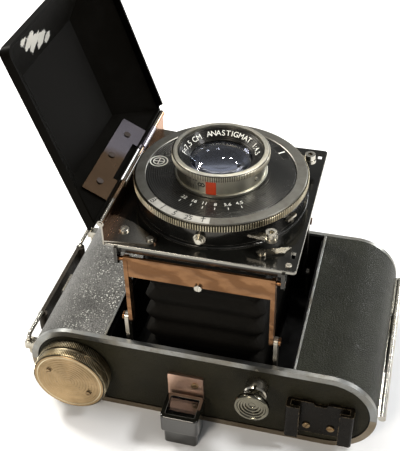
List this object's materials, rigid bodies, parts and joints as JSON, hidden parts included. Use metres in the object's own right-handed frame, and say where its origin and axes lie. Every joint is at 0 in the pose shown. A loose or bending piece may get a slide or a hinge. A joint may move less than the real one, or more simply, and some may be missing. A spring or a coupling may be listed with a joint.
{
  "type": "folding strut camera",
  "caption": "Roll-film folding camera with a strut-mounted lens standard, bevelled hinged front door, hinged back and sprung finder fittings.",
  "frame": {"origin": "where the lens axis meets the flat back, camera lying on its back", "axes": "+Z along the lens axis towards the subject, +X along the body away from the door, +Y away from the winding knob end"},
  "size_m": [0.1236, 0.0819, 0.1339],
  "materials": {
    "nickel": "worn nickel plate",
    "steel": "satin",
    "black_enamel": "gloss",
    "aluminium": "satin",
    "covering": "grained",
    "strap_leather": "worn",
    "bellows_cloth": "matt",
    "glass": "polished",
    "red_window": "clear"
  },
  "bodies": {
    "body": {"front_shell": "aluminium", "gate_frame": "black_enamel", "near_end_plate": "black_enamel", "far_end_plate": "black_enamel", "front_trim": "nickel", "end_leathers": "covering", "front_leather": "covering", "strut_brackets": "steel", "film_guides": "steel", "body_knuckles": "nickel", "finder_body": "black_enamel", "finder_foot": "nickel", "finder_lenses": "glass", "end_screws": "steel", "accessory_shoe": "nickel", "button_collar": "nickel", "strap_loops": "nickel", "carrying_strap": "strap_leather", "tripod_bush": "nickel", "spool_pins": "steel", "bellows": "bellows_cloth"},
    "back": {"back_cover": "aluminium", "back_trim": "nickel", "back_leather": "covering", "red_windows": "red_window", "pressure_plate": "black_enamel", "cover_fittings": "nickel"},
    "latch": {"cover_latch": "nickel"},
    "winding": {"winding_knob": "nickel", "knob_screws": "steel", "takeup_spool": "black_enamel"},
    "feed": {"feed_spool": "black_enamel"},
    "opening_button": {"release_button": "nickel"},
    "near_links": {"near_lower_links": "steel"},
    "near_frame": {"near_strut_frame": "nickel", "frame_screw": "steel"},
    "far_links": {"far_lower_links": "steel"},
    "far_frame": {"far_strut_frame": "nickel"},
    "standard": {"lens_plate": "nickel", "standard_box": "black_enamel", "plate_screws": "steel", "shutter_housing": "black_enamel", "base_flange": "nickel", "face_plate": "black_enamel", "cable_socket": "nickel", "rear_cell": "black_enamel", "rear_lens": "glass", "hinge_bracket": "nickel"},
    "catch": {"plate_catch": "nickel"},
    "speed": {"speed_ring": "nickel"},
    "cocking": {"cocking_lever": "nickel"},
    "release": {"release_lever": "nickel"},
    "pointer": {"aperture_pointer": "steel"},
    "focus": {"focus_ring": "nickel", "name_ring": "black_enamel", "front_lens": "glass"},
    "door": {"door_panel": "black_enamel", "door_leather": "covering", "door_leaf": "nickel", "leaf_rivets": "steel"}
  },
  "joints": [
    {"name": "fold", "type": "hinge", "parent": "body", "child": "near_links", "pos_m": [0.0005, -0.0305, 0.0155], "axis": [-1, 0, 0], "range_deg": [0, 85.6], "deforming": ["bellows"]},
    {"name": "near_knee", "type": "hinge", "parent": "near_links", "child": "near_frame", "pos_m": [0.0005, -0.0305, 0.04], "axis": [-1, 0, 0], "range_deg": [-171.2, 0]},
    {"name": "near_ear", "type": "hinge", "parent": "near_frame", "child": "standard", "pos_m": [0.0005, -0.0305, 0.0645], "axis": [-1, 0, 0], "range_deg": [0, 85.6]},
    {"name": "far_lower", "type": "hinge", "parent": "body", "child": "far_links", "pos_m": [0.0005, 0.0305, 0.0155], "axis": [1, 0, 0], "range_deg": [0, 85.6]},
    {"name": "far_ear", "type": "hinge", "parent": "standard", "child": "far_frame", "pos_m": [0.0005, 0.0305, 0.0645], "axis": [-1, 0, 0], "range_deg": [0, 85.6]},
    {"name": "door_hinge", "type": "hinge", "parent": "standard", "child": "door", "pos_m": [-0.029, 0, 0.0776], "axis": [0, 1, 0], "range_deg": [0, 108.4]},
    {"name": "cover_hinge", "type": "hinge", "parent": "body", "child": "back", "pos_m": [0.0599, 0, 0.01595], "axis": [0, -1, 0], "range_deg": [0, 115]},
    {"name": "latch_slide", "type": "slide", "parent": "back", "child": "latch", "axis": [0, 1, 0], "range_m": [0, 0.002]},
    {"name": "wind", "type": "hinge", "parent": "body", "child": "winding", "pos_m": [-0.0424, 0, 0.01595], "axis": [0, -1, 0], "continuous": true},
    {"name": "feed_spin", "type": "hinge", "parent": "body", "child": "feed", "pos_m": [0.0424, 0, 0.01595], "axis": [0, -1, 0], "continuous": true},
    {"name": "button_press", "type": "slide", "parent": "body", "child": "opening_button", "axis": [0, 1, 0], "range_m": [0, 0.0012], "stiffness_N_per_m": 400},
    {"name": "catch_turn", "type": "hinge", "parent": "standard", "child": "catch", "pos_m": [0.0185, -0.0259, 0.0712], "axis": [0, 0, 1], "range_deg": [-20, 10]},
    {"name": "speed_set", "type": "hinge", "parent": "standard", "child": "speed", "pos_m": [0, 0, 0.0783], "axis": [0, 0, 1], "range_deg": [-60, 60]},
    {"name": "cock", "type": "hinge", "parent": "standard", "child": "cocking", "pos_m": [0, 0, 0.075], "axis": [0, 0, 1], "range_deg": [-25, 0]},
    {"name": "fire", "type": "hinge", "parent": "standard", "child": "release", "pos_m": [0, 0, 0.075], "axis": [0, 0, 1], "range_deg": [-9, 0], "stiffness_Nm_per_rad": 0.02},
    {"name": "aperture", "type": "hinge", "parent": "standard", "child": "pointer", "pos_m": [0, 0, 0.0746], "axis": [0, 0, 1], "range_deg": [-8, 30]},
    {"name": "focus_turn", "type": "hinge", "parent": "standard", "child": "focus", "pos_m": [0, 0, 0.084], "axis": [0, 0, 1], "range_deg": [-150, 150]}
  ],
  "couplings": [
    {"joint": "near_knee", "follows": "fold", "ratio": -2},
    {"joint": "near_ear", "follows": "fold", "ratio": 1},
    {"joint": "far_lower", "follows": "fold", "ratio": 1},
    {"joint": "far_ear", "follows": "fold", "ratio": 1}
  ]
}
